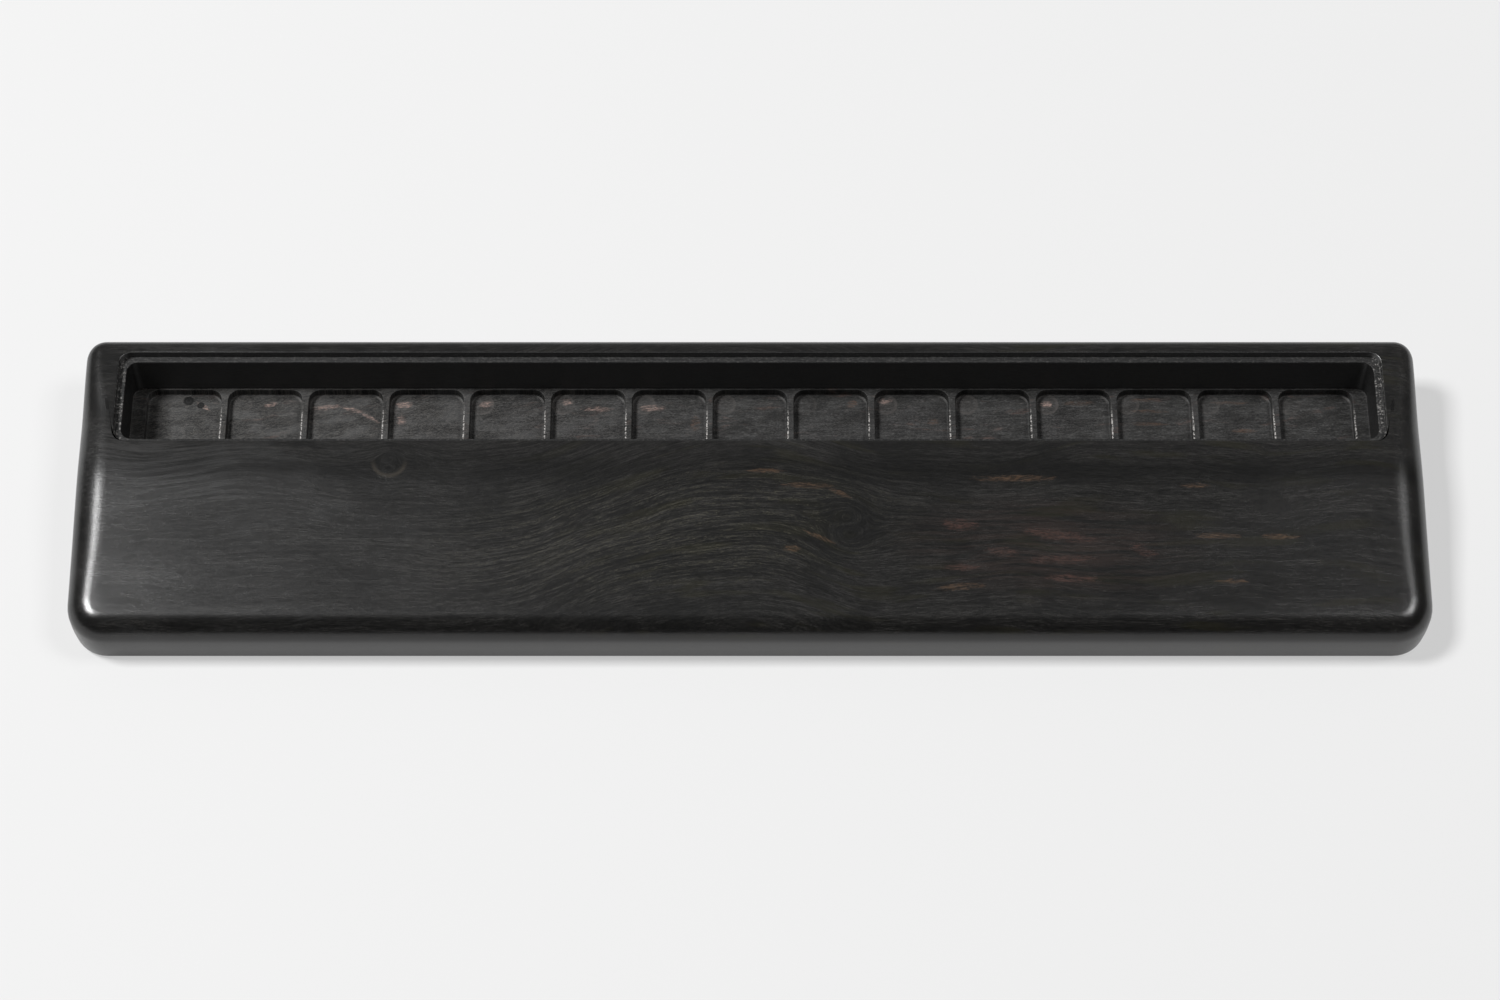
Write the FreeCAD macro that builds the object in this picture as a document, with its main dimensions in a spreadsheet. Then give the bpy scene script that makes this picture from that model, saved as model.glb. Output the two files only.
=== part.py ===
import FreeCAD, Part
import math
import os
import Sketcher

# Wrist rest: a palm block milled from one length of hardwood, with a long open tray of
# keycap pockets along its back. It stands on six rubber feet, glued into recesses.
# Millimetres. +X right, +Y to the back, +Z up. The origin is on the table, under the
# centre of the block, so the block's lowest face is foot_stand above it.

DRIVING_SIZES = {
    # the block
    "block_length": 326.0,       # left to right
    "block_depth": 79.1,         # front to back
    "rim_height": 20.0,          # table to the level rim
    "back_corner_round": 5.0,    # plan radius of the two back corners
    "front_corner_round": 9.5,   # plan radius of the two front corners
    "top_round": 4.5,            # rolled edge all round the top
    "base_break": 0.8,           # small chamfer round the underside
    # the palm surface
    "level_lip": 2.2,            # level wood in front of the tray before the slope starts
    "crown_round": 70.0,         # radius that rolls the level rim into the slope
    "palm_slope": 7.5,           # degrees down to the front
    # the tray
    "back_rim": 4.45,            # wood behind the tray
    "side_rim": 8.6,             # wood at each end of the tray
    "tray_width": 25.06,         # front to back, at the rim
    "rebate_corner": 3.0,
    "trough_corner": 2.75,
    "ledge_drop": 2.1,           # rim to ledge
    "ledge_width": 1.65,
    "wall_drop": 12.2,           # ledge to the tops of the dividers
    # the keycap pockets
    "pocket_count": 15,
    "pocket_pitch": 20.0,
    "pocket_length": 18.4,       # takes a keycap 18.2 across
    "pocket_width": 21.0,
    "pocket_corner": 2.85,
    "pocket_sink": 2.34,         # divider tops to pocket floor
    # the feet
    "foot_stand": 0.8,           # table to the wood
    "foot_diameter": 10.0,
    "foot_thickness": 1.2,
    "foot_edge": 0.3,            # rounding of the edge on the table
    "glue_diameter": 9.6,
    "glue_thickness": 0.2,
    "recess_diameter": 10.4,
    "foot_pitch": 136.0,         # left to right
    "foot_spread": 54.0,         # front row to back row
}
SHEET = "sizes"
CLEAR = 40.0                     # how far a cut runs past the block
QUARTER = math.pi / 2

doc = FreeCAD.newDocument("wrist_rest")


def fill_sheet():
    """One row per driving size: its name, and its value under that name as alias."""
    sheet = doc.addObject("Spreadsheet::Sheet", SHEET)
    for row, (name, size) in enumerate(DRIVING_SIZES.items(), start=1):
        sheet.set(f"A{row}", name)
        sheet.set(f"B{row}", str(size))
        sheet.setAlias(f"B{row}", name)
    doc.recompute()
    return sheet


def sized(text):
    """An expression in plain size names, turned into one that reads the sheet."""
    for name in DRIVING_SIZES:
        text = text.replace(name, f"{SHEET}.{name}")
    return text


def worth(text):
    """The number that an expression in size names comes to."""
    return float(sheet.evalExpression(sized(text).replace(f"{SHEET}.", "")))


# Places that several features share, as expressions in size names. Heights in the block
# count from its own underside.
BLOCK_TOP = "(rim_height - foot_stand)"
DIVIDER_TOP = f"({BLOCK_TOP} - ledge_drop - wall_drop)"
TRAY_BACK = "(block_depth / 2 - back_rim)"
TRAY_FRONT = f"({TRAY_BACK} - tray_width)"
TRAY_MIDDLE = f"({TRAY_BACK} - tray_width / 2)"
TRAY_END = "(block_length / 2 - side_rim)"
SLOPE_START = f"({TRAY_FRONT} - level_lip)"
FIRST_POCKET = "(-(pocket_pitch) * (pocket_count - 1) / 2)"
RECESS_SINK = "(foot_thickness + glue_thickness - foot_stand)"


def new_sketch(body, name, plane, lift="0"):
    """An empty sketch on one of the body's origin planes, lifted along its normal."""
    sketch = body.newObject("Sketcher::SketchObject", name)
    origin_plane = next(p for p in body.Origin.OriginFeatures if p.Role == plane)
    sketch.AttachmentSupport = [(origin_plane, "")]
    sketch.MapMode = "FlatFace"
    sketch.setExpression("AttachmentOffset.Base.z", sized(lift))
    return sketch


def bind(sketch, label, text, *constraint):
    """Add a dimension to the sketch and drive it from the sheet."""
    index = sketch.addConstraint(Sketcher.Constraint(*constraint, worth(text)))
    sketch.renameConstraint(index, label)
    sketch.setExpression(f"Constraints.{label}", sized(text))


def hold(sketch, label, direction, shape, point, text):
    """Hold a point at a signed distance from the sketch's origin along X or Y."""
    if worth(text) < 0:
        bind(sketch, label, f"-({text})", direction, shape, point, -1, 1)
    else:
        bind(sketch, label, text, direction, -1, 1, shape, point)


def rounded_rectangle(sketch, left, right, front, back, front_round, back_round):
    """Four lines and four tangent arcs, anticlockwise from the front line."""
    x0, x1, y0, y1 = (worth(text) for text in (left, right, front, back))
    r0, r1 = worth(front_round), worth(back_round)
    lines = (
        ((x0 + r0, y0), (x1 - r0, y0)),
        ((x1, y0 + r0), (x1, y1 - r1)),
        ((x1 - r1, y1), (x0 + r1, y1)),
        ((x0, y1 - r1), (x0, y0 + r0)),
    )
    for start, end in lines:
        sketch.addGeometry(Part.LineSegment(FreeCAD.Vector(*start), FreeCAD.Vector(*end)))
    corners = (
        (x1 - r0, y0 + r0, r0),
        (x1 - r1, y1 - r1, r1),
        (x0 + r1, y1 - r1, r1),
        (x0 + r0, y0 + r0, r0),
    )
    for turn, (x, y, radius) in enumerate(corners):
        circle = Part.Circle(FreeCAD.Vector(x, y), FreeCAD.Vector(0, 0, 1), radius)
        start = (turn - 1) * QUARTER
        sketch.addGeometry(Part.ArcOfCircle(circle, start, start + QUARTER))
    for turn, radius in enumerate((front_round, back_round, back_round, front_round)):
        arc = len(lines) + turn
        following = (turn + 1) % len(lines)
        sketch.addConstraint(Sketcher.Constraint("Tangent", turn, 2, arc, 1))
        sketch.addConstraint(Sketcher.Constraint("Tangent", arc, 2, following, 1))
        bind(sketch, f"round_{turn}", radius, "Radius", arc)
    for line in (0, 2):
        sketch.addConstraint(Sketcher.Constraint("Horizontal", line))
    for line in (1, 3):
        sketch.addConstraint(Sketcher.Constraint("Vertical", line))
    hold(sketch, "front", "DistanceY", 0, 1, front)
    hold(sketch, "right", "DistanceX", 1, 1, right)
    hold(sketch, "back", "DistanceY", 2, 1, back)
    hold(sketch, "left", "DistanceX", 3, 1, left)


def one_circle(sketch, x, y, diameter):
    """A circle, added to whatever the sketch already holds."""
    centre = FreeCAD.Vector(worth(x), worth(y))
    circle = Part.Circle(centre, FreeCAD.Vector(0, 0, 1), worth(diameter) / 2)
    index = sketch.addGeometry(circle)
    bind(sketch, f"diameter_{index}", diameter, "Diameter", index)
    hold(sketch, f"across_{index}", "DistanceX", index, 3, x)
    hold(sketch, f"along_{index}", "DistanceY", index, 3, y)


def cut(body, name, sketch, depth, reverse=False, side="One side"):
    """Pocket a sketch into the body, and make sure that wood came off."""
    doc.recompute()
    before = body.Shape.Volume
    pocket = body.newObject("PartDesign::Pocket", name)
    pocket.Profile = sketch
    pocket.Reversed = reverse
    pocket.SideType = side
    pocket.setExpression("Length", sized(depth))
    doc.recompute()
    if not body.Shape.Volume < before - 1.0:
        raise RuntimeError(f"{name} removed nothing")
    return pocket


def repeat(body, name, feature, sketch, pitch, count):
    """Repeat a cut along the sketch's horizontal axis, and make it the body's tip."""
    before = body.Shape.Volume
    row = body.newObject("PartDesign::LinearPattern", name)
    row.Originals = [feature]
    row.Direction = (sketch, ["H_Axis"])
    row.setExpression("Length", sized(f"{pitch} * ({count} - 1)"))
    row.setExpression("Occurrences", sized(count))
    body.Tip = row
    doc.recompute()
    if not body.Shape.Volume < before - 1.0:
        raise RuntimeError(f"{name} removed nothing")


def finish_edges(body, kind, name, size_property, size, test):
    """Fillet or chamfer every edge of the body's tip whose middle point passes a test."""
    base = body.Tip
    names = []
    for number, edge in enumerate(base.Shape.Edges, start=1):
        middle = edge.valueAt((edge.FirstParameter + edge.LastParameter) / 2)
        if test(middle):
            names.append(f"Edge{number}")
    finished = body.newObject(kind, name)
    finished.Base = (base, names)
    finished.setExpression(size_property, sized(size))
    doc.recompute()


def raise_block(body):
    """The block's plan outline, raised to the rim."""
    outline = new_sketch(body, "block_outline", "XY_Plane")
    rounded_rectangle(outline, "-(block_length / 2)", "block_length / 2",
                      "-(block_depth / 2)", "block_depth / 2",
                      "front_corner_round", "back_corner_round")
    block = body.newObject("PartDesign::Pad", "block")
    block.Profile = outline
    block.setExpression("Length", sized(BLOCK_TOP))
    doc.recompute()


def slope_palm_surface(body):
    """Take off the wood above the palm surface: a large arc leaves the level rim, and a
    straight slope runs on from it, past the front."""
    profile = new_sketch(body, "palm_profile", "YZ_Plane")
    radius = worth("crown_round")
    angle = math.radians(worth("palm_slope"))
    start = FreeCAD.Vector(worth(SLOPE_START), worth(BLOCK_TOP))
    circle = Part.Circle(start - FreeCAD.Vector(0, radius), FreeCAD.Vector(0, 0, 1), radius)
    crown = Part.ArcOfCircle(circle, QUARTER, QUARTER + angle)
    front = -worth("block_depth") / 2 - CLEAR
    run = crown.EndPoint.x - front
    low_front = crown.EndPoint - FreeCAD.Vector(run, run * math.tan(angle))
    high_front = FreeCAD.Vector(front, start.y + CLEAR)
    high_back = FreeCAD.Vector(start.x, start.y + CLEAR)
    profile.addGeometry(crown)
    corners = (crown.EndPoint, low_front, high_front, high_back, start)
    slope, front_side, top_side, back_side = range(1, len(corners))
    profile.addGeometry(Part.LineSegment(low_front, crown.EndPoint))
    for first, second in zip(corners[1:], corners[2:]):
        profile.addGeometry(Part.LineSegment(first, second))
    joined = (
        (slope, 1, front_side, 1),
        (front_side, 2, top_side, 1),
        (top_side, 2, back_side, 1),
        (back_side, 2, 0, 1),
    )
    for ends in joined:
        profile.addConstraint(Sketcher.Constraint("Coincident", *ends))
    profile.addConstraint(Sketcher.Constraint("Tangent", slope, 2, 0, 2))
    profile.addConstraint(Sketcher.Constraint("Vertical", front_side))
    profile.addConstraint(Sketcher.Constraint("Horizontal", top_side))
    profile.addConstraint(Sketcher.Constraint("Vertical", back_side))
    profile.addConstraint(Sketcher.Constraint("Vertical", 0, 3, 0, 1))
    bind(profile, "crown", "crown_round", "Radius", 0)
    hold(profile, "slope_start", "DistanceX", 0, 1, SLOPE_START)
    hold(profile, "rim", "DistanceY", 0, 1, BLOCK_TOP)
    hold(profile, "past_front", "DistanceX", front_side, 2, f"-(block_depth / 2 + {CLEAR})")
    hold(profile, "above_rim", "DistanceY", back_side, 1, f"{BLOCK_TOP} + {CLEAR}")
    index = profile.addConstraint(Sketcher.Constraint("Angle", slope, angle))
    profile.renameConstraint(index, "slope")
    profile.setExpression("Constraints.slope", sized("palm_slope * 1 deg"))
    cut(body, "palm_slope_cut", profile, f"block_length + {CLEAR}", side="Symmetric")


def round_outer_edges(body):
    """Roll the whole top edge over, and break the edge of the underside."""
    side = worth("block_length / 2 - front_corner_round")
    back = worth("block_depth / 2 - back_corner_round")
    low = worth(BLOCK_TOP) / 2

    def on_top_edge(middle):
        return middle.z > low and (abs(middle.x) > side or abs(middle.y) > back)

    finish_edges(body, "PartDesign::Chamfer", "base_break", "Size", "base_break",
                 lambda middle: abs(middle.z) < 1e-6)
    finish_edges(body, "PartDesign::Fillet", "top_round", "Radius", "top_round",
                 on_top_edge)


def mill_tray(body):
    """The rebate with its ledge, the trough inside it, and the row of keycap pockets."""
    rebate = new_sketch(body, "rebate_outline", "XY_Plane", BLOCK_TOP)
    rounded_rectangle(rebate, f"-{TRAY_END}", TRAY_END, TRAY_FRONT, TRAY_BACK,
                      "rebate_corner", "rebate_corner")
    cut(body, "rebate", rebate, "ledge_drop")
    trough = new_sketch(body, "trough_outline", "XY_Plane", BLOCK_TOP)
    rounded_rectangle(trough, f"-({TRAY_END} - ledge_width)", f"{TRAY_END} - ledge_width",
                      f"{TRAY_FRONT} + ledge_width", f"{TRAY_BACK} - ledge_width",
                      "trough_corner", "trough_corner")
    cut(body, "trough", trough, "ledge_drop + wall_drop")
    pocket = new_sketch(body, "pocket_outline", "XY_Plane", DIVIDER_TOP)
    rounded_rectangle(pocket, f"{FIRST_POCKET} - pocket_length / 2",
                      f"{FIRST_POCKET} + pocket_length / 2",
                      f"{TRAY_MIDDLE} - pocket_width / 2",
                      f"{TRAY_MIDDLE} + pocket_width / 2",
                      "pocket_corner", "pocket_corner")
    first = cut(body, "first_pocket", pocket, "pocket_sink")
    repeat(body, "pocket_row", first, pocket, "pocket_pitch", "pocket_count")


def mill_foot_recesses(body):
    """A front and a back recess at the left end, repeated to the middle and the right."""
    recesses = new_sketch(body, "recess_outlines", "XY_Plane")
    for y in ("-(foot_spread) / 2", "foot_spread / 2"):
        one_circle(recesses, "-(foot_pitch)", y, "recess_diameter")
    pair = cut(body, "left_recesses", recesses, RECESS_SINK, reverse=True)
    repeat(body, "recess_rows", pair, recesses, "foot_pitch", "3")


def make_wood_body():
    """The whole wooden block."""
    body = doc.addObject("PartDesign::Body", "wood_body")
    raise_block(body)
    slope_palm_surface(body)
    round_outer_edges(body)
    mill_tray(body)
    mill_foot_recesses(body)
    body.setExpression("Placement.Base.z", sized("foot_stand"))
    return body


def make_foot(name, x, y):
    """A rubber disc whose edge on the table is rounded."""
    body = doc.addObject("PartDesign::Body", name)
    outline = new_sketch(body, f"{name}_outline", "XY_Plane")
    one_circle(outline, "0", "0", "foot_diameter")
    disc = body.newObject("PartDesign::Pad", f"{name}_disc")
    disc.Profile = outline
    disc.setExpression("Length", sized("foot_thickness"))
    doc.recompute()
    finish_edges(body, "PartDesign::Fillet", f"{name}_edge", "Radius", "foot_edge",
                 lambda middle: abs(middle.z) < 1e-6)
    body.setExpression("Placement.Base.x", sized(x))
    body.setExpression("Placement.Base.y", sized(y))
    return body


def make_glue(name, x, y):
    """The thin adhesive disc between a foot and the roof of its recess."""
    disc = doc.addObject("Part::Cylinder", name)
    disc.setExpression("Radius", sized("glue_diameter / 2"))
    disc.setExpression("Height", sized("glue_thickness"))
    disc.setExpression("Placement.Base.x", sized(x))
    disc.setExpression("Placement.Base.y", sized(y))
    disc.setExpression("Placement.Base.z", sized("foot_thickness"))
    return disc


def make_feet():
    """Three feet in the front row and three in the back row, each with its adhesive."""
    rows = {"front": "-(foot_spread) / 2", "back": "foot_spread / 2"}
    columns = {"left": "-(foot_pitch)", "centre": "0", "right": "foot_pitch"}
    pieces = []
    for row, y in rows.items():
        for column, x in columns.items():
            pieces.append(make_foot(f"foot_{row}_{column}", x, y))
            pieces.append(make_glue(f"adhesive_{row}_{column}", x, y))
    return pieces


def check_everything(pieces):
    """Stop if any object failed to compute, or any piece isn't one valid solid."""
    for thing in doc.Objects:
        if "Invalid" in thing.State or "Error" in thing.State:
            raise RuntimeError(f"{thing.Name} failed: {thing.State}")
    for piece in pieces:
        shape = piece.Shape
        if shape.isNull() or not shape.isValid() or len(shape.Solids) != 1:
            raise RuntimeError(f"{piece.Label} isn't one valid solid")


def write_pieces(pieces):
    """One STEP file per piece, named after it."""
    os.makedirs("parts", exist_ok=True)
    for piece in pieces:
        piece.Shape.exportStep(f"parts/{piece.Label}.step")
        box = piece.Shape.optimalBoundingBox()
        print(f"{piece.Label}: {piece.Shape.Volume:.1f} mm3, "
              f"x {box.XMin:.2f} {box.XMax:.2f}, y {box.YMin:.2f} {box.YMax:.2f}, "
              f"z {box.ZMin:.2f} {box.ZMax:.2f}")


sheet = fill_sheet()
all_pieces = [make_wood_body()] + make_feet()
doc.recompute()
check_everything(all_pieces)
write_pieces(all_pieces)
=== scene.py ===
import math

import bmesh
import bpy
import numpy as np
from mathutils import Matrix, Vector


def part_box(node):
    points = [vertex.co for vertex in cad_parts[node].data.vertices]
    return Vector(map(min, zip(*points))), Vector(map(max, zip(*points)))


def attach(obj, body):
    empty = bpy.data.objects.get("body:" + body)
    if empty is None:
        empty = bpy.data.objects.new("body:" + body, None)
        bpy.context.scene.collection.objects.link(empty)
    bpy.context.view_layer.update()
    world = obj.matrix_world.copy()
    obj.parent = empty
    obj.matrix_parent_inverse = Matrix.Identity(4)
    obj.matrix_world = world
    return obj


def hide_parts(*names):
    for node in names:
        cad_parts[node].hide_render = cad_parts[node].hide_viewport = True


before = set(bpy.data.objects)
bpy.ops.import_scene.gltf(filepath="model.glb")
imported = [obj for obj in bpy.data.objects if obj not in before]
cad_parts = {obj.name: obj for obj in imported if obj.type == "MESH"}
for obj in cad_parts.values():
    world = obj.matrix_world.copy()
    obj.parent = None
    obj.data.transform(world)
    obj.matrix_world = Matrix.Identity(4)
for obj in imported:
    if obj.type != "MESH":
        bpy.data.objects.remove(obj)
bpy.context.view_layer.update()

# A wrist rest: a palm block of near-black hardwood with a tray of keycap pockets milled
# along its back, on six rubber feet. +X runs along the block, +Y to its back, +Z up.

MM = 0.001
TURN = 2 * math.pi

# The block, from the frame.
BLOCK_LOW, BLOCK_HIGH = (Vector(corner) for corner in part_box("wood_body"))
HALF_LENGTH = BLOCK_HIGH.x
FRONT, BACK = BLOCK_LOW.y, BLOCK_HIGH.y
BASE, RIM = BLOCK_LOW.z, BLOCK_HIGH.z

# The block's outside.
FRONT_CORNER = 9.2 * MM
BACK_CORNER = 5.0 * MM
BASE_BREAK = 0.45 * MM         # rounding where the sides meet the underside
SIDE_ROUND = 56.0 * MM         # below the rolled edge the sides lean in, on this radius
# The rolled top edge, as its height and how far it reaches in from the side.
BACK_ROLL = (3.3 * MM, 3.3 * MM)
BACK_CORNER_ROLL = (4.3 * MM, 4.3 * MM)
END_ROLL = (6.2 * MM, 7.7 * MM)
FRONT_CORNER_ROLL = (5.9 * MM, 6.3 * MM)
FRONT_ROLL = (5.3 * MM, 5.3 * MM)
PALM_SLOPE = math.radians(7.5)
CROWN_ROUND = 70.0 * MM        # rolls the level rim into the palm slope
LEVEL_LIP = 2.2 * MM           # level top in front of the tray
CROWN_SHADE_Y = 1.5 * MM       # middle of a band of painted shade along the crown

# The tray.
BACK_RIM = 4.45 * MM
END_RIM = 8.6 * MM
TRAY_WIDTH = 25.06 * MM
REBATE_CORNER = 3.0 * MM
TROUGH_CORNER = 2.75 * MM
LEDGE_DROP = 2.1 * MM
LEDGE_WIDTH = 1.65 * MM
WALL_DROP = 12.2 * MM
RIM_EDGE = 0.25 * MM           # small rounding of the milled edges
LEDGE_EDGE = 0.18 * MM
CUTTER_EDGE = 0.15 * MM        # what the cutter leaves where a wall meets a floor
TRAY_BACK = BACK - BACK_RIM
TRAY_FRONT = TRAY_BACK - TRAY_WIDTH
TRAY_END = HALF_LENGTH - END_RIM
TRAY_MIDDLE = (TRAY_FRONT + TRAY_BACK) / 2
LEDGE = RIM - LEDGE_DROP
DIVIDER_TOP = LEDGE - WALL_DROP

# The keycap pockets.
POCKETS = 15
PITCH = 20.0 * MM
POCKET_LENGTH = 18.4 * MM
POCKET_WIDTH = 21.0 * MM
POCKET_CORNER = 2.85 * MM
POCKET_SINK = 2.34 * MM
POCKET_EDGE = 0.12 * MM
POCKET_FOOT = 0.4 * MM         # rounding where the pocket's wall meets its floor

# The feet.
FEET = sorted(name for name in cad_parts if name.startswith("foot_"))
RECESS_RADIUS = 5.2 * MM
RECESS_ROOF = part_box(FEET[0].replace("foot", "adhesive"))[1].z
FOOT_EDGE = 0.3 * MM           # rounding of a foot's lower edge
FOOT_GROOVE = 0.12 * MM        # depth of the moulded groove under a foot

# How finely the surfaces are divided.
LONG_STEPS = 12                # along one pocket's share of a long side
ROW_STEPS = POCKETS * LONG_STEPS
CORNER_STEPS = 10
END_STEPS = 12
SIDE_STEPS = 2 * CORNER_STEPS + END_STEPS
SLOPE_STEPS = 16               # along the part of an end beside the palm surface
ROLL_STEPS = 12                # round the rolled top edge
PALM_STEPS = 26                # from the rolled edge to the tray
PALM_CROWDING = 1.4            # above 1, these rings are closer together near the tray
EDGE_STEPS = 3                 # round a small milled edge
STRIP_STEPS = 5                # across the strip between the last pocket and the end wall
BORDER_STEPS = 3               # across the border of the underside
BREAK_STEPS = 4                # round the base's edge, and into a pocket's floor
POCKET_ARC = (3, 4)            # round half a pocket's corner: next to an X side, a Y side
FOOT_EDGE_STEPS = 5            # round a foot's lower edge
FOOT_SIDE = 16                 # along each quarter of a foot's outline
WELD = 1e-6                    # points closer than this, in metres, are one point
NO_LENGTH = 1e-7               # an edge shorter than this, in metres, is taken out
# Where the rings between two edges are, as shares of the way.
SIDE_SHARES = (0.08, 0.25, 0.42, 0.58, 0.75, 0.92)  # up the outside
LEDGE_SHARES = (0.25, 0.75)                         # in across the ledge
WALL_SHARES = (0.04, 0.3, 0.6, 0.96)                # down the trough's walls
DIVIDER_SHARES = (0.4, 0.8)                         # across a divider's top to a pocket
BASE_SHARES = (0.45, 0.8)                           # across the underside to a recess
BASE_BORDER = 0.75 * FRONT_CORNER                   # from the base's edge to the feet's shares

# The camera, with places in metres.
CAMERA_PLACE = Vector((0, -0.475, 0.830))
CAMERA_AIM = Vector((0, -0.00672, 0.020))
LENS = 93.7
SENSOR_WIDTH = 36.0

# The stage and its light. A softbox is given by its place and size in metres, and watts.
TABLE_REACH = 6.0
TABLE_GREY = 0.25
TABLE_GLOW = 0.495
CEILING_BANDS = (              # Y of the direction and brightness, from front to back
    (-1.0, 0.05), (-0.22, 0.03), (0.04, 0.04), (0.22, 0.09), (0.29, 0.08),
    (0.40, 0.04), (0.50, 0.20), (1.0, 0.30),
)
KEY_SOFTBOX = ((-1.13, 0.15, 1.89), 0.48, 64)
FILL_SOFTBOX = ((1.12, 0.03, 1.89), 0.66, 18.5)

# How deep the bumps of the finishes are.
WOOD_RELIEF = 0.02 * MM
RUBBER_RELIEF = 0.03 * MM
FILM_RELIEF = 0.01 * MM


# ---------------------------------------------------------------- surfaces

SANDED, MILLED = 0.0, 1.0      # values of the skin's attribute 'milled'


class Surface:
    """Patches of quads collected into one skin. Every patch is a grid of points with
    'milled' values: one for the whole patch, or one for each row."""

    def __init__(self):
        self.points, self.faces, self.milled = [], [], []
        self.count = 0

    def add(self, grid, milled, closed=False):
        """Add a grid of points, rows by columns by xyz. A closed grid's last column is
        joined to its first."""
        rows, columns = grid.shape[:2]
        index = self.count + np.arange(rows * columns).reshape(rows, columns)
        if closed:
            index = np.concatenate([index, index[:, :1]], axis=1)
        quads = np.stack([index[:-1, :-1], index[:-1, 1:], index[1:, 1:], index[1:, :-1]], -1)
        self.points.append(grid.reshape(-1, 3))
        self.faces.append(quads.reshape(-1, 4))
        self.milled.append(np.broadcast_to(np.asarray(milled, float).reshape(-1, 1),
                                           (rows, columns)).ravel())
        self.count += rows * columns

    def build(self, name):
        """The patches welded into one closed mesh with outward faces, as an object."""
        mesh = bpy.data.meshes.new(name)
        points = np.concatenate(self.points)
        mesh.from_pydata(points, [], np.concatenate(self.faces))
        attribute = mesh.attributes.new("milled", "FLOAT", "POINT")
        attribute.data.foreach_set("value", np.concatenate(self.milled))
        shell = bmesh.new()
        shell.from_mesh(mesh)
        bmesh.ops.remove_doubles(shell, verts=shell.verts, dist=WELD)
        bmesh.ops.dissolve_degenerate(shell, edges=shell.edges, dist=NO_LENGTH)
        bmesh.ops.recalc_face_normals(shell, faces=shell.faces)
        shell.to_mesh(mesh)
        shell.free()
        mesh.shade_smooth()
        piece = bpy.data.objects.new(name, mesh)
        bpy.context.scene.collection.objects.link(piece)
        return piece


class Loop:
    """A closed plan outline as points and inward normals, anticlockwise. It is made of
    straight sides and quarter circles, given in order."""

    def __init__(self):
        self.points, self.normals = [], []

    def side(self, start, end, normal, steps):
        """A straight side: points spaced evenly, without the last."""
        share = np.linspace(0, 1, steps, endpoint=False)[:, None]
        self.points.append(np.array(start) * (1 - share) + np.array(end) * share)
        self.normals.append(np.tile(np.array(normal, float), (steps, 1)))

    def corner(self, centre, radius, start, steps):
        """A quarter circle from a start given as a share of a turn, without its end."""
        angle = TURN * (start + np.linspace(0, 0.25, steps, endpoint=False))
        outward = np.stack([np.cos(angle), np.sin(angle)], -1)
        self.points.append(np.array(centre) + radius * outward)
        self.normals.append(-outward)

    def close(self):
        """Join the stretches up."""
        self.points = np.concatenate(self.points)
        self.normals = np.concatenate(self.normals)
        return self

    def inset(self, distance):
        """The outline moved inwards by a distance, which may differ from point to point."""
        return self.points + self.normals * np.asarray(distance).reshape(-1, 1)


def tray_loop(half_length, front, back, corner):
    """A rectangle with equal round corners, on which every pocket's share of a long side
    has the same number of points."""
    x, y0, y1 = half_length - corner, front + corner, back - corner
    loop = Loop()
    loop.side((-x, front), (x, front), (0, 1), ROW_STEPS)
    loop.corner((x, y0), corner, -0.25, CORNER_STEPS)
    loop.side((half_length, y0), (half_length, y1), (-1, 0), END_STEPS)
    loop.corner((x, y1), corner, 0.0, CORNER_STEPS)
    loop.side((x, back), (-x, back), (0, -1), ROW_STEPS)
    loop.corner((-x, y1), corner, 0.25, CORNER_STEPS)
    loop.side((-half_length, y1), (-half_length, y0), (1, 0), END_STEPS)
    loop.corner((-x, y0), corner, 0.5, CORNER_STEPS)
    return loop.close()


def block_loop():
    """The block's plan outline. Its points pair with those of a tray_loop so that lines
    drawn between them fan out evenly: the tray's front side pairs with the front, its
    corners and the slope's stretch of both ends."""
    x, f, b = HALF_LENGTH, FRONT_CORNER, BACK_CORNER
    slope_end = TRAY_FRONT
    front_steps = ROW_STEPS - 2 * (CORNER_STEPS + SLOPE_STEPS)
    level_steps = CORNER_STEPS + END_STEPS
    loop = Loop()
    loop.side((-x, slope_end), (-x, FRONT + f), (1, 0), SLOPE_STEPS)
    loop.corner((-x + f, FRONT + f), f, 0.5, CORNER_STEPS)
    loop.side((-x + f, FRONT), (x - f, FRONT), (0, 1), front_steps)
    loop.corner((x - f, FRONT + f), f, -0.25, CORNER_STEPS)
    loop.side((x, FRONT + f), (x, slope_end), (-1, 0), SLOPE_STEPS)
    loop.side((x, slope_end), (x, BACK - b), (-1, 0), level_steps)
    loop.corner((x - b, BACK - b), b, 0.0, CORNER_STEPS)
    loop.side((x - b, BACK), (-x + b, BACK), (0, -1), ROW_STEPS)
    loop.corner((-x + b, BACK - b), b, 0.25, CORNER_STEPS)
    loop.side((-x, BACK - b), (-x, slope_end), (1, 0), level_steps)
    return loop.close()


def raised(plan, height):
    """Plan points given a height, one for all or one each."""
    heights = np.broadcast_to(height, plan.shape[:-1])
    return np.concatenate([plan, heights[..., None]], axis=-1)


def smooth_step(value, low, high):
    """0 below low, 1 above high, and a smooth S between."""
    share = np.clip((value - low) / (high - low), 0, 1)
    return share * share * (3 - 2 * share)


def quarter_turn(steps):
    """Angles from 0 to a quarter of a turn."""
    return np.linspace(0, TURN / 4, steps + 1)


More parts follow.
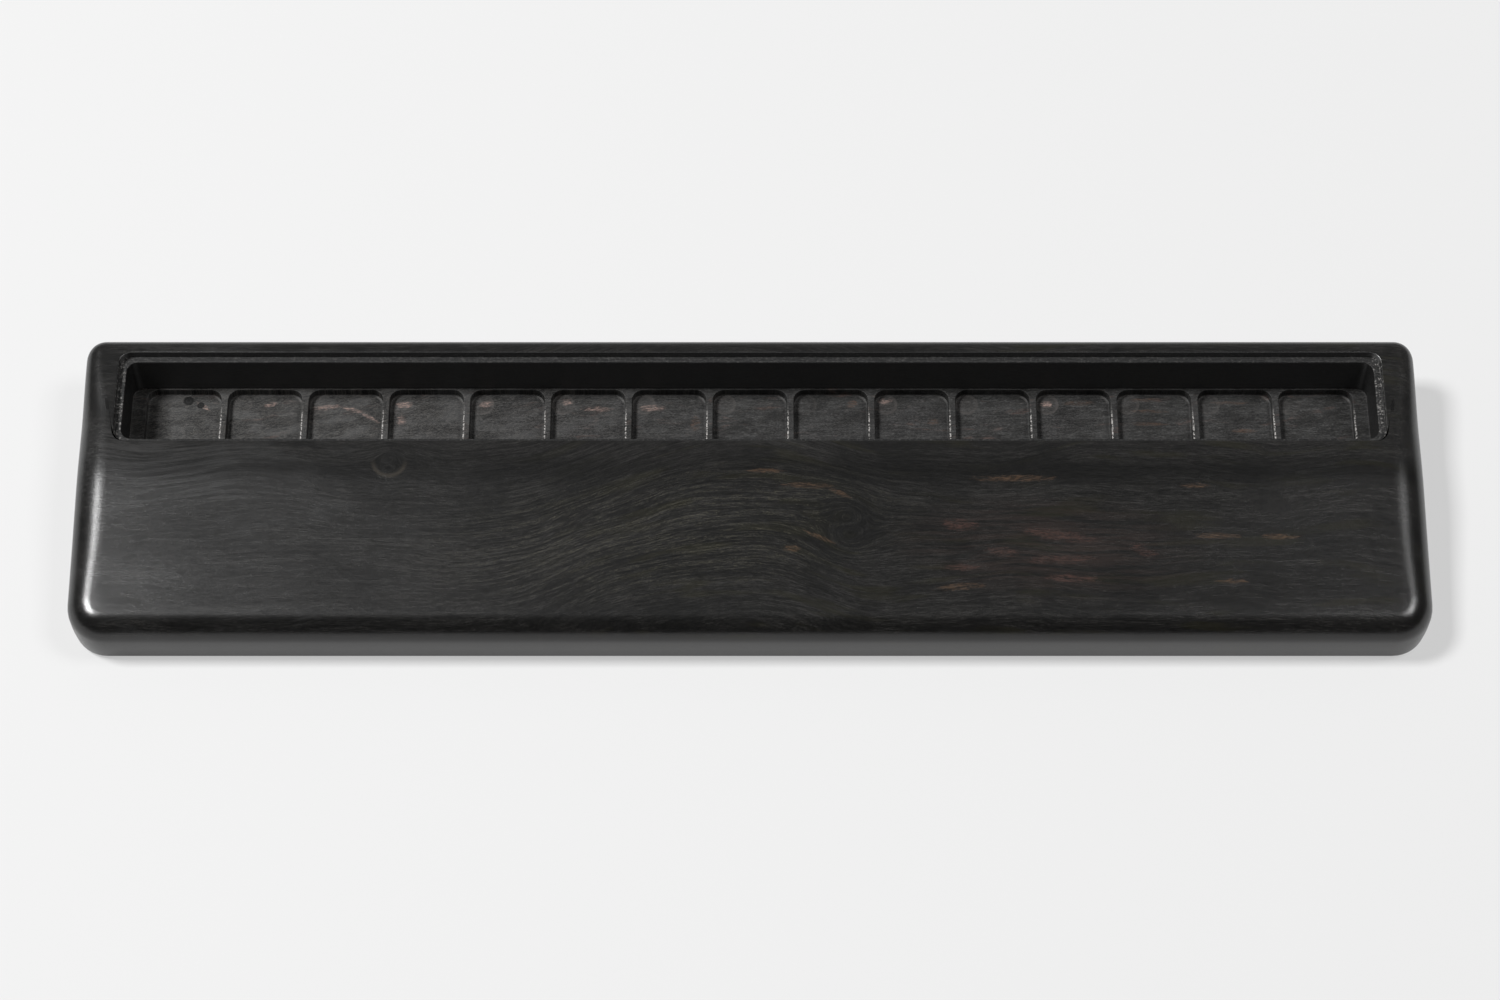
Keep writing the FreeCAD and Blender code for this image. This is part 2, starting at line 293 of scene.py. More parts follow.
def palm_height(y):
    """Height of the block's top at a distance y from the middle: level at the back, then
    an arc of the crown's radius, then a straight slope that leaves the arc tangent."""
    ahead = np.maximum(TRAY_FRONT - LEVEL_LIP - y, 0)
    arc = CROWN_ROUND * math.sin(PALM_SLOPE)
    on_arc = CROWN_ROUND - np.sqrt(CROWN_ROUND ** 2 - np.minimum(ahead, arc) ** 2)
    return RIM - on_arc - np.maximum(ahead - arc, 0) * math.tan(PALM_SLOPE)


def edge_roll(y):
    """The rolled top edge's height and its reach in from the side, for an outline point at
    y: small along the back, larger round the ends, with smooth steps between."""
    steps = (
        (FRONT_CORNER_ROLL, smooth_step(y, FRONT, FRONT + 0.7 * FRONT_CORNER)),
        (END_ROLL, smooth_step(y, FRONT + 0.5 * FRONT_CORNER, FRONT + 3.0 * FRONT_CORNER)),
        (BACK_CORNER_ROLL, smooth_step(y, BACK - 5 * BACK_CORNER, BACK - BACK_CORNER)),
        (BACK_ROLL, smooth_step(y, BACK - BACK_CORNER, BACK)),
    )
    height, reach = FRONT_ROLL
    for (next_height, next_reach), share in steps:
        height = height + (next_height - height) * share
        reach = reach + (next_reach - reach) * share
    return height, reach


def add_outside(skin):
    """The sanded outside: rings from the underside, round the base, up the side, over the
    rolled edge and across the top to the rim of the tray. At a depth d below the rolled
    edge the side is d^2 / (2 R) further in."""
    outline = block_loop()
    rings = []
    roll, reach = edge_roll(outline.points[:, 1])
    shoulder = palm_height(outline.points[:, 1]) - roll
    side = BASE + BASE_BREAK
    lean = (shoulder - side) ** 2 / (2 * SIDE_ROUND)
    for angle in quarter_turn(BREAK_STEPS):
        inset = BASE_BREAK * (1 - math.sin(angle))
        rings.append(raised(outline.inset(lean + inset),
                            BASE + BASE_BREAK * (1 - math.cos(angle))))
    for share in SIDE_SHARES:
        rings.append(raised(outline.inset(lean * (1 - share) ** 2),
                            side + (shoulder - side) * share))
    for angle in np.linspace(TURN / 4, 0, ROLL_STEPS + 1):
        plan = outline.inset(reach * (1 - math.sin(angle)))
        rings.append(raised(plan, palm_height(plan[:, 1]) - roll * (1 - math.cos(angle))))
    rim = tray_loop(TRAY_END, TRAY_FRONT, TRAY_BACK, REBATE_CORNER)
    shoulder_plan, rim_plan = outline.inset(reach), rim.inset(-RIM_EDGE)
    for step in np.linspace(0, 1, PALM_STEPS)[1:]:
        share = 1 - (1 - step) ** PALM_CROWDING
        plan = shoulder_plan * (1 - share) + rim_plan * share
        rings.append(raised(plan, palm_height(plan[:, 1])))
    skin.add(np.stack(rings), SANDED, closed=True)
    return rings[0][:, :2], rings[-1]


def rounded_brink(loop, radius, height):
    """Rings of a convex quarter round, from the level face around a loop down to the wall
    at the loop itself."""
    return [raised(loop.inset(radius * (math.sin(angle) - 1)),
                   height - radius * (1 - math.cos(angle)))
            for angle in quarter_turn(EDGE_STEPS)]


def rounded_foot(loop, radius, height):
    """Rings of a concave quarter round, from the wall at a loop into the level floor
    inside it."""
    return [raised(loop.inset(radius * (1 - math.cos(angle))),
                   height + radius * (1 - math.sin(angle)))
            for angle in quarter_turn(EDGE_STEPS)]


def between(first, last, shares):
    """Rings part of the way from one ring to another."""
    return [first * (1 - share) + last * share for share in shares]


def add_tray_walls(skin, first_ring):
    """The milled rebate, ledge and trough walls: rings from the rim down to the floor."""
    rebate = tray_loop(TRAY_END, TRAY_FRONT, TRAY_BACK, REBATE_CORNER)
    trough = tray_loop(TRAY_END - LEDGE_WIDTH, TRAY_FRONT + LEDGE_WIDTH,
                       TRAY_BACK - LEDGE_WIDTH, TROUGH_CORNER)
    rings = [first_ring]
    rings += rounded_brink(rebate, RIM_EDGE, RIM)[1:]
    rings += rounded_foot(rebate, CUTTER_EDGE, LEDGE)
    brink = rounded_brink(trough, LEDGE_EDGE, LEDGE)
    rings += between(rings[-1], brink[0], LEDGE_SHARES)
    rings += brink
    foot = rounded_foot(trough, CUTTER_EDGE, DIVIDER_TOP)
    rings += between(brink[-1], foot[0], WALL_SHARES)
    rings += foot
    milled = np.full(len(rings), MILLED)
    milled[:2] = SANDED
    skin.add(np.stack(rings), milled, closed=True)
    return rings[-1][:, :2]


def rectangle_loop(left, right, front, back, long_steps, side_steps):
    """A rectangle's points, anticlockwise from its front left corner."""
    across = np.linspace(0, 1, long_steps, endpoint=False)
    along = np.linspace(0, 1, side_steps, endpoint=False)
    x = np.concatenate([left + (right - left) * across, np.full(side_steps, right),
                        right - (right - left) * across, np.full(side_steps, left)])
    y = np.concatenate([np.full(long_steps, front), front + (back - front) * along,
                        np.full(long_steps, back), back - (back - front) * along])
    return np.stack([x, y], -1)


def round_loop(centre, half_x, half_y, radius, long_steps, side_steps, arc_long, arc_side):
    """A rectangle with round corners, or a circle, whose points pair with those of a
    rectangle_loop: each side's first and last points lie on the corner's two half arcs."""
    def side(half_along, half_out, steps, arc):
        turn = TURN / 8
        first = np.linspace(-turn, 0, arc + 1)
        straight = np.linspace(0, 1, steps - 2 * arc + 1)
        reach = half_along - radius
        along = np.concatenate([-reach + radius * np.sin(first[:-1]),
                                -reach + 2 * reach * straight,
                                reach + radius * np.sin(-first[::-1][1:])])
        out = np.concatenate([half_out - radius + radius * np.cos(first[:-1]),
                              np.full(straight.size, half_out),
                              half_out - radius + radius * np.cos(first[::-1][1:])])
        return along[:-1], out[:-1]

    x_along, x_out = side(half_x, half_y, long_steps, arc_long)
    y_along, y_out = side(half_y, half_x, side_steps, arc_side)
    x = np.concatenate([x_along, y_out, -x_along, -y_out])
    y = np.concatenate([-x_out, y_along, x_out, -y_along])
    return np.array(centre) + np.stack([x, y], -1)


def filled(loop, height, long_steps, side_steps):
    """A Coons patch: a grid of points blended from a closed loop's four sides."""
    front = loop[:long_steps + 1]
    right = loop[long_steps:long_steps + side_steps + 1]
    back = loop[long_steps + side_steps:2 * long_steps + side_steps + 1][::-1]
    left = np.concatenate([loop[2 * long_steps + side_steps:], loop[:1]])[::-1]
    u = np.linspace(0, 1, long_steps + 1)[None, :, None]
    v = np.linspace(0, 1, side_steps + 1)[:, None, None]
    grid = (front[None] * (1 - v) + back[None] * v + left[:, None] * (1 - u)
            + right[:, None] * u
            - front[0] * (1 - u) * (1 - v) - front[-1] * u * (1 - v)
            - back[0] * (1 - u) * v - back[-1] * u * v)
    return raised(grid, height)


def add_pocket(skin, middle, low, high):
    """One pocket with its share of the dividers: rings from the share's rectangle over
    the divider's edge, down the wall and into the floor, then the floor."""
    steps = (LONG_STEPS, SIDE_STEPS)
    edge = rectangle_loop(middle - PITCH / 2, middle + PITCH / 2, low, high, *steps)

    def outline(grow):
        return round_loop((middle, TRAY_MIDDLE), POCKET_LENGTH / 2 + grow,
                          POCKET_WIDTH / 2 + grow, POCKET_CORNER + grow, *steps,
                          *POCKET_ARC)

    floor = DIVIDER_TOP - POCKET_SINK
    rings = [raised(edge, DIVIDER_TOP)]
    brink = raised(outline(POCKET_EDGE), DIVIDER_TOP)
    rings += between(rings[0], brink, DIVIDER_SHARES)
    for angle in quarter_turn(EDGE_STEPS):
        drop = POCKET_EDGE * (1 - math.cos(angle))
        rings.append(raised(outline(POCKET_EDGE * (1 - math.sin(angle))), DIVIDER_TOP - drop))
    for angle in quarter_turn(BREAK_STEPS):
        rise = POCKET_FOOT * (1 - math.sin(angle))
        rings.append(raised(outline(-POCKET_FOOT * (1 - math.cos(angle))), floor + rise))
    inner = outline(-2 * POCKET_FOOT)
    rings.append(raised(inner, floor))
    skin.add(np.stack(rings), MILLED, closed=True)
    skin.add(filled(inner, floor, *steps), MILLED)


def add_tray_floor(skin, wall_foot):
    """The pockets side by side, and at each end the strip between the last pocket's share
    and the end wall."""
    low, high = wall_foot[:, 1].min(), wall_foot[:, 1].max()
    for number in range(POCKETS):
        add_pocket(skin, PITCH * (number - (POCKETS - 1) / 2), low, high)
    right_wall = wall_foot[ROW_STEPS:ROW_STEPS + SIDE_STEPS + 1]
    half_row = PITCH * POCKETS / 2
    share_end = np.stack([np.full(SIDE_STEPS + 1, half_row),
                          np.linspace(low, high, SIDE_STEPS + 1)], -1)
    share = np.linspace(0, 1, STRIP_STEPS + 1)[:, None, None]
    strip = share_end[None] * (1 - share) + right_wall[None] * share
    for way in (1, -1):
        skin.add(raised(strip * np.array([way, 1]), DIVIDER_TOP), MILLED)


def add_underside(skin, base_plan):
    """The flat underside with a round recess for each foot: a share of the underside for
    each foot, and the border between those shares and the base's edge."""
    left, right = base_plan[:, 0].min() + BASE_BORDER, base_plan[:, 0].max() - BASE_BORDER
    front, back = base_plan[:, 1].min() + BASE_BORDER, base_plan[:, 1].max() - BASE_BORDER
    frame_loop = rectangle_loop(left, right, front, back, ROW_STEPS, SIDE_STEPS)
    share = np.linspace(0, 1, BORDER_STEPS + 1)[:, None, None]
    skin.add(raised(base_plan[None] * (1 - share) + frame_loop[None] * share, BASE), SANDED,
             closed=True)
    steps = (ROW_STEPS // 3, SIDE_STEPS // 2)
    for foot in FEET:
        low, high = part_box(foot)
        x, y = (low.x + high.x) / 2, (low.y + high.y) / 2
        column = int(np.sign(round(x, 3))) + 1  # 0, 1 or 2, from the left
        third = (right - left) / 3
        x0 = left + third * column
        y0, y1 = (front, (front + back) / 2) if y < 0 else ((front + back) / 2, back)
        edge = rectangle_loop(x0, x0 + third, y0, y1, *steps)

        def outline(grow):
            radius = RECESS_RADIUS + grow
            return round_loop((x, y), radius, radius, radius, *steps,
                              steps[0] // 2, steps[1] // 2)

        rings = [raised(edge, BASE)]
        brink = raised(outline(2 * CUTTER_EDGE), BASE)
        rings += between(rings[0], brink, BASE_SHARES)
        rings += [brink, raised(outline(CUTTER_EDGE), BASE),
                  raised(outline(0), BASE + CUTTER_EDGE), raised(outline(0), RECESS_ROOF)]
        skin.add(np.stack(rings), SANDED, closed=True)
        skin.add(filled(outline(0), RECESS_ROOF, *steps), SANDED)


def make_wood_block():
    """The whole block as one closed skin."""
    skin = Surface()
    base_plan, rim_ring = add_outside(skin)
    wall_foot = add_tray_walls(skin, rim_ring)
    add_tray_floor(skin, wall_foot)
    add_underside(skin, base_plan)
    return skin.build("wood_block")


def make_foot_pad(node):
    """A moulded disc, turned from a profile: a flat top, straight side, rounded lower edge
    and, under it, a shallow groove r = 3.1 mm from the middle and a dished centre."""
    low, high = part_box(node)
    middle = ((low.x + high.x) / 2, (low.y + high.y) / 2)
    radius = (high.x - low.x) / 2
    top, bottom = high.z, low.z
    profile = [(0.30 * radius, top), (0.80 * radius, top), (0.975 * radius, top),
               (0.99 * radius, top - 0.03 * MM), (radius, top - 0.10 * MM),
               (radius, bottom + 1.4 * FOOT_EDGE)]
    for angle in quarter_turn(FOOT_EDGE_STEPS):
        profile.append((radius - FOOT_EDGE * (1 - math.cos(angle)),
                        bottom + FOOT_EDGE * (1 - math.sin(angle))))
    profile += [(3.9 * MM, bottom), (3.4 * MM, bottom), (3.25 * MM, bottom + FOOT_GROOVE),
                (2.95 * MM, bottom + FOOT_GROOVE), (2.8 * MM, bottom), (2.0 * MM, bottom),
                (1.5 * MM, bottom + 0.5 * FOOT_GROOVE)]
    steps = (FOOT_SIDE, FOOT_SIDE)
    arcs = (FOOT_SIDE // 2, FOOT_SIDE // 2)

    def outline(size):
        return round_loop(middle, size, size, size, *steps, *arcs)

    skin = Surface()
    rings = [raised(outline(size), height) for size, height in profile]
    skin.add(np.stack(rings), SANDED, closed=True)
    for size, height in (profile[0], profile[-1]):
        skin.add(filled(outline(size), height, *steps), SANDED)
    return skin.build(node.replace("foot", "foot_pad"))


# ---------------------------------------------------------------- materials

class Amount:
    """A number that varies over a surface. It is a node's socket, and it can be added,
    taken away, multiplied and divided as a plain number can."""

    def __init__(self, finish, socket):
        self.finish, self.socket = finish, socket

    def __add__(self, other):
        return self.finish.math("ADD", self, other)

    def __sub__(self, other):
        return self.finish.math("SUBTRACT", self, other)

    def __rsub__(self, other):
        return self.finish.math("SUBTRACT", other, self)

    def __mul__(self, other):
        return self.finish.math("MULTIPLY", self, other)

    def __truediv__(self, other):
        return self.finish.math("DIVIDE", self, other)

    __radd__ = __add__
    __rmul__ = __mul__


class Finish:
    """A node material, with short calls for the nodes that the finishes share. Its x, y
    and z are millimetres on the piece."""

    def __init__(self, name):
        self.material = bpy.data.materials.new(name)
        self.material.use_nodes = True
        self.tree = self.material.node_tree
        self.shader = self.tree.nodes["Principled BSDF"]
        place = self.node("ShaderNodeTexCoord").outputs["Object"]
        in_mm = self.node("ShaderNodeVectorMath", {"Vector": place, "Scale": 1 / MM},
                          operation="SCALE")
        split = self.node("ShaderNodeSeparateXYZ", {"Vector": in_mm.outputs[0]})
        self.x, self.y, self.z = (Amount(self, socket) for socket in split.outputs)

    def node(self, kind, inputs=(), **settings):
        """A new node, with its inputs fed by name or number, and its settings."""
        made = self.tree.nodes.new(kind)
        for key, value in settings.items():
            setattr(made, key, value)
        for key, value in dict(inputs).items():
            self.feed(made.inputs[key], value)
        return made

    def feed(self, socket, value):
        """Link an amount or a socket to a socket, or write a constant into it."""
        value = value.socket if isinstance(value, Amount) else value
        if isinstance(value, bpy.types.NodeSocket):
            self.tree.links.new(value, socket)
        else:
            socket.default_value = value

    def set(self, name, value):
        """Give one of the shader's inputs a constant, an amount or a colour."""
        self.feed(self.shader.inputs[name], value)

    def math(self, operation, *values):
        made = self.node("ShaderNodeMath", dict(enumerate(values)), operation=operation)
        return Amount(self, made.outputs[0])

    def noise(self, x, y, z, detail=2.0, roughness=0.5, distortion=0.0):
        """Smooth noise from 0 to 1 at a place given in the noise's own steps."""
        place = self.node("ShaderNodeCombineXYZ", {"X": x, "Y": y, "Z": z}).outputs[0]
        made = self.node("ShaderNodeTexNoise", {
            "Vector": place, "Scale": 1.0, "Detail": detail, "Roughness": roughness,
            "Distortion": distortion})
        return Amount(self, made.outputs[0])

    def step(self, value, low, high):
        """0 where the value is below low, 1 above high, smooth between. A low above the
        high turns it round."""
        made = self.node("ShaderNodeMapRange", {
            "Value": value, "From Min": low, "From Max": high},
            interpolation_type="SMOOTHSTEP")
        return Amount(self, made.outputs[0])

    def blend(self, share, first, second):
        """The first colour, with a share of the second over it."""
        made = self.node("ShaderNodeMix", {0: share, 6: first, 7: second},
                         data_type="RGBA")
        return made.outputs[2]

    def ramp(self, value, *stops):
        """A colour picked by a value, from stops of (place, colour)."""
        made = self.node("ShaderNodeValToRGB", {0: value})
        elements = made.color_ramp.elements
        while len(elements) < len(stops):
            elements.new(0.5)
        for element, (place, colour) in zip(elements, stops):
            element.position, element.color = place, colour
        return made.outputs[0]

    def spot(self, x, y, half_long, half_wide, slant=0.0):
        """1 in the middle of an ellipse and 0 outside it. Its long axis runs along X, and
        leans by the slant."""
        along = (self.x - x) * (1 / half_long)
        across = (self.y - y - (self.x - x) * slant) * (1 / half_wide)
        return self.step(along * along + across * across, 1.6, 0.0)

    def bump(self, height, depth):
        """Bumps in the surface, where a height of 1 stands for a depth in metres."""
        made = self.node("ShaderNodeBump", {"Height": height, "Distance": depth,
                                            "Strength": 1.0})
        self.feed(self.shader.inputs["Normal"], made.outputs[0])


def grey(value, warmth=0.0):
    """A near-grey colour. Warmth takes blue away, and some green."""
    return (value * (1 + warmth), value, value * (1 - warmth), 1)


# Figure in the wood, in millimetres. Knots are given by x, y and radius.
KNOTS = (
    (23.5, -12.5, 6.0),
    (-87.0, 3.5, 3.2),
)
PIN_KNOTS = (                      # both are in the first pocket
    (-139.3, 31.3, 1.25),
    (-136.2, 30.0, 0.9),
)
CURL = (-87.0, 4.2, 3.4)           # a pale line curled round the small knot

# Patches and streaks are given by x, y, half length, half width and slant.
KNOT_EYE = (24.5, -12.0, 9.5, 6.0)
FLECKED = (-22.0, -14.0, 52.0, 15.0)
SWIRL = (-18.0, -14.0, 56.0, 16.0, 0.1)
BLUSH = (72.0, -18.0, 34.0, 12.0, -0.05)
# a pale patch at the left end: painted sheen from the key light
END_SHEEN = (-146.0, 3.0, 34.0, 11.0, -0.1)
ORANGE_STREAKS = (
    (3.5, 1.6, 5.5, 0.8, 0.02),
    (14.0, -2.2, 8.0, 1.0, -0.03),
    (21.5, -4.2, 3.5, 1.0, -0.45),
    (10.0, -18.5, 2.6, 1.1, 0.05),
    (16.5, -15.5, 5.0, 0.8, -0.42),
    (63.5, -0.4, 12.0, 1.1, 0.0),
    (50.0, -28.2, 7.5, 1.1, 0.07),
    (112.0, -15.2, 7.0, 1.0, 0.0),
    (127.0, -15.4, 6.0, 1.0, 0.0),
    (107.0, -2.2, 4.5, 0.8, 0.0),
    (115.0, -26.8, 4.5, 0.9, 0.0),
)
RED_STREAKS = (
    (50.0, -12.3, 6.5, 1.9, 0.0),
    (73.5, -15.0, 12.5, 1.8, -0.15),
    (60.0, -19.3, 5.0, 1.6, -0.12),
    (74.0, -21.2, 10.5, 1.5, 0.02),
    (50.5, -23.2, 5.5, 1.2, 0.0),
    (77.0, -26.0, 8.0, 1.5, -0.05),
    (94.0, -19.0, 4.0, 1.8, -0.30),
)
PALE_STREAKS = (                   # torn fibres on the floors of the pockets
    (-135.6, 29.8, 2.2, 0.9, -0.6),
    (-118.8, 30.2, 2.1, 0.9, 0.25),
    (-104.8, 29.4, 4.2, 0.9, 0.08),
    (-98.6, 28.7, 3.4, 0.8, -0.28),
    (-94.0, 26.4, 3.0, 0.8, -0.60),
    (-85.8, 30.2, 2.4, 1.3, 0.0),
    (-86.3, 25.4, 1.6, 1.8, 0.0),
    (-65.4, 30.4, 2.0, 1.3, 0.2),
    (-45.3, 31.0, 1.6, 1.3, 0.1),
    (-38.0, 28.9, 4.6, 0.9, 0.0),
    (-24.2, 29.2, 4.0, 1.2, 0.0),
    (33.5, 31.2, 2.4, 1.1, 0.05),
    (73.5, 30.3, 1.9, 1.2, 0.0),
)
BROWN_STREAKS = (                  # also on the floors of the pockets
    (-13.5, 24.8, 1.6, 2.6, 0.0),
    (25.3, 30.4, 1.8, 1.4, 0.3),
    (45.3, 25.2, 2.0, 1.2, 0.0),
    (81.5, 30.7, 5.0, 1.0, 0.0),
    (98.0, 31.6, 5.0, 0.7, 0.0),
    (99.4, 28.3, 6.0, 0.7, 0.0),
    (98.7, 24.8, 5.6, 0.9, 0.0),
    (119.0, 30.7, 6.5, 0.6, 0.0),
    (122.0, 22.6, 4.0, 0.8, 0.0),
)

# Colours of the sanded wood.
OLIVE = (0.0105, 0.0098, 0.0045, 1)
PALE_FLECK = (0.060, 0.055, 0.038, 1)
PALE_LINE = (0.080, 0.075, 0.054, 1)
CURL_LINE = (0.042, 0.035, 0.026, 1)
BLUSH_RED = (0.0200, 0.0115, 0.0092, 1)
ORANGE = (0.078, 0.047, 0.028, 1)
RED = (0.060, 0.031, 0.025, 1)

# Colours of the cut wood.
PINK = (0.085, 0.048, 0.038, 1)
PALE_HAIR = (0.130, 0.122, 0.112, 1)
TORN_PINK = (0.270, 0.190, 0.165, 1)
BROWN = (0.075, 0.045, 0.031, 1)
CUTTER_RING = (0.075, 0.068, 0.064, 1)

# Middle of a pocket's back right corner, in millimetres from the pocket's middle.
CORNER_X = (POCKET_LENGTH / 2 - POCKET_CORNER) / MM
CORNER_Y = (POCKET_WIDTH / 2 - POCKET_CORNER) / MM


class Face:
    """The colour of one kind of surface, built up in layers."""

    def __init__(self, finish, colour):
        self.finish, self.colour = finish, colour

    def lay(self, share, colour):
        """Put a share of a colour over what is there."""
        self.colour = self.finish.blend(share, self.colour, colour)


class Hardwood(Finish):
    """Oiled near-black hardwood: the sanded face, the paler and rougher face that the
    cutter left in the tray, and the patterns that both use. Its rise is the height above
    the divider tops, low is 1 from those tops down, and pocket_x and pocket_y are measured
    from the middle of the nearest pocket."""

    def __init__(self):
        super().__init__("dark_hardwood")
        self.rise = self.z - DIVIDER_TOP / MM
        self.low = self.step(self.rise, 0.4, 0.2)
        self.on_floor = self.step(self.rise, -1.5, -2.0)
        self.pocket_x = self.math("WRAP", self.x, PITCH / MM / 2, -PITCH / MM / 2)
        self.pocket_y = self.y - TRAY_MIDDLE / MM
        self.across = self.across_grain()
        self.fibres = self.grain(0.36, 7.0, 3.0, 0.68)
        self.bands = self.grain(0.05, 1.3, 3.0, 0.62)
        self.curls = self.grain(0.30, 2.3, 4.0, 0.75, 0.8)
        self.coarse = self.noise(self.x * 0.3, self.y * 2.2, self.z * 0.5, 4.0, 0.7)
        self.chatter = self.noise(self.x * 2.1, self.y * 2.6, self.z * 2.0, 3.0, 0.7)
        self.speckle = self.noise(self.x * 1.7, self.y * 2.1, self.z * 1.2, 2.0, 0.7)

    def across_grain(self):
        """How far across the grain a place is. The grain runs along X, sweeps up to the
        right in the middle of the block, and flows round the knots: each knot of radius R
        pushes it by dy R^2 / (r^2 + R^2 / 3)."""
        sweep = self.step(self.x, -72, -4) * 17 - self.step(self.x, -2, 34) * 8
        sway = self.noise(self.x * 0.022, self.y * 0.03, self.z * 0.03, 1.0) * 11
        across = self.y - sweep - sway
        for x, y, radius in KNOTS:
            dx, dy = self.x - x, self.y - y
            across = across - dy * (radius ** 2) / (dx * dx + dy * dy + radius ** 2 / 3)
        return across

    def grain(self, along, across, *settings):
        """Noise that follows the grain, with so many steps to the millimetre along and
        across it."""
        return self.noise(self.x * along, self.across * across, self.z * across, *settings)

    def near(self, value, middle, outer, inner):
        """1 where a value is within inner of the middle, and 0 where it is beyond outer."""
        return self.step(self.math("ABSOLUTE", value - middle), outer, inner)

    def distance(self, dx, dy):
        """The length of a step of dx by dy."""
        return self.math("SQRT", dx * dx + dy * dy)

    def streaks(self, places):
        """A mask for a set of streaks, broken up along the grain."""
        mask = None
        for place in places:
            spot = self.spot(*place)
            mask = spot if mask is None else self.math("MAXIMUM", mask, spot)
        broken = self.step(mask * 0.5 + self.curls * 1.6, 1.05, 1.5)
        return broken * self.step(mask, 0.0, 0.8)

    def sanded_face(self):
        """Fine fibres and bands, then patches of tone with painted shade along the crown, then
        the figure with painted sheen at the left end.
        """
        pores = self.grain(1.4, 9.0, 1.0)
        drift = self.noise(self.x * 0.013, self.across * 0.13, self.z * 0.13 + 4, 1.0)
        tone = self.fibres * 0.45 + pores * 0.15 + self.bands * 0.25 + drift * 0.15
        face = Face(self, self.ramp(tone, (0.38, grey(0.0015)), (0.50, grey(0.0066, 0.03)),
                                    (0.63, grey(0.024, 0.05))))
        olive = self.noise(self.x * 0.05, self.across * 0.32, self.z * 0.3 + 9, 2.0)
        olive = self.step(olive, 0.54, 0.68) * self.step(self.x, -75, -15)
        face.lay(olive * 0.5, OLIVE)
        flecks = self.step(self.grain(0.8, 7.0, 1.0), 0.66, 0.76)
        flecks = flecks * self.spot(*FLECKED) * self.step(self.bands, 0.45, 0.6)
        face.lay(flecks * 0.6, PALE_FLECK)

        # Slanting strokes and pale clouds in the left third, dark clouds all over, and painted
        # shade in a band along the crown, where the crown reflects the dim ceiling.
        left = self.step(self.x, -60, -110)
        strokes = self.noise((self.x + self.y) * 0.05, self.y * 1.4 - self.x * 0.35,
                             self.z * 1.4, 3.0)
        face.lay(self.step(strokes, 0.5, 0.72) * left * 0.45, grey(0.018))
        clouds = self.noise(self.x * 0.06, self.y * 0.09 + self.x * 0.02, self.z * 0.09,
                            3.0, 0.6)
        face.lay(self.step(clouds, 0.50, 0.72) * left * 0.5, grey(0.022))
        face.lay(self.step(clouds, 0.50, 0.36) * 0.55, grey(0.0025))
        # painted shade along the crown
        crown = self.near(self.y, CROWN_SHADE_Y / MM, 5.5, 0.5)
        face.lay(crown * self.step(drift, 0.35, 0.6) * 0.75, grey(0.0015))

        # The swirl of pale lines, the knot's dark eye, and the curl at the small knot.
        lines = self.near(self.grain(0.13, 2.4, 4.0, 0.72, 0.4), 0.5, 0.016, 0.004)
        swirl = self.spot(*SWIRL) * self.step(self.bands, 0.40, 0.62)
        face.lay(lines * (0.04 + swirl * 0.7), PALE_LINE)
        face.lay(self.spot(*KNOT_EYE) * 0.6, grey(0.003))
        x, y, radius = CURL
        front = self.step(self.y - y, 1.0, -2.5)
        curl = self.distance(self.x - x, self.y - y) - self.fibres
        face.lay(self.near(curl, radius, 0.8, 0.1) * front * 0.4, CURL_LINE)

        # Red and orange figure, in strands.
        blush = self.spot(*BLUSH) * self.step(self.bands, 0.38, 0.62)
        face.lay(blush * 0.45, BLUSH_RED)
        strands = self.step(self.grain(0.7, 5.0, 3.0, 0.7, 0.5), 0.42, 0.60)
        strands = 0.25 + strands * 0.75
        face.lay(self.streaks(ORANGE_STREAKS) * strands * 0.9, ORANGE)
        face.lay(self.streaks(RED_STREAKS) * strands * 0.8, RED)
        # Painted sheen: a pale patch at the left end, where the key light's broad reflection
        # falls.
        sheen = self.spot(*END_SHEEN) * self.step(self.bands, 0.3, 0.7)
        face.lay(sheen * 0.5, grey(0.030))
        return face.colour

    def lay_floor_figure(self, face):
        """What shows on the divider tops and the floors of the pockets: pink marbling,
        light and dark clouds, pale hairs, torn fibres and brown streaks."""
        low = self.low
        marble = self.noise(self.x * 0.05, self.y * 0.16, 3.0, 2.0) * 7
        pink = self.noise(self.x * 0.09 + marble * 0.4, self.y * 0.55 + marble,
                          self.z * 0.2, 3.0, 0.65)
        pink = self.step(pink, 0.58, 0.74) * self.step(self.coarse, 0.38, 0.6)
        face.lay(pink * low * 0.5, PINK)
        cloud = self.noise(self.x * 0.10 + self.y * 0.06, self.y * 0.22 - self.x * 0.05,
                           8.0, 3.0, 0.6)
        # paler clouds and hairs, more of them towards the left end
        leftward_share = 0.22 + self.step(self.x, 20, -120) * 0.42
        face.lay(self.step(cloud, 0.46, 0.66) * low * leftward_share, grey(0.050))
        face.lay(self.step(cloud, 0.50, 0.36) * low * 0.55, grey(0.006))
        hairs = self.noise(self.x * 0.35 + self.y * 0.20, self.y * 2.6 - self.x * 0.9,
                           5.0, 4.0, 0.75, 0.6)
        face.lay(self.near(hairs, 0.5, 0.030, 0.004) * low * leftward_share * 0.8, PALE_HAIR)
        shreds = self.noise(self.x * 1.0 + self.y * 0.3, self.y * 4.2 - self.x * 0.4,
                            7.0, 3.0, 0.75, 0.8)
        shreds = self.step(shreds, 0.44, 0.58) * low
        face.lay(self.streaks(PALE_STREAKS) * (0.12 + shreds * 0.88) * low * 0.9, TORN_PINK)
        face.lay(self.streaks(BROWN_STREAKS) * (0.3 + shreds * 0.7) * low * 0.7, BROWN)

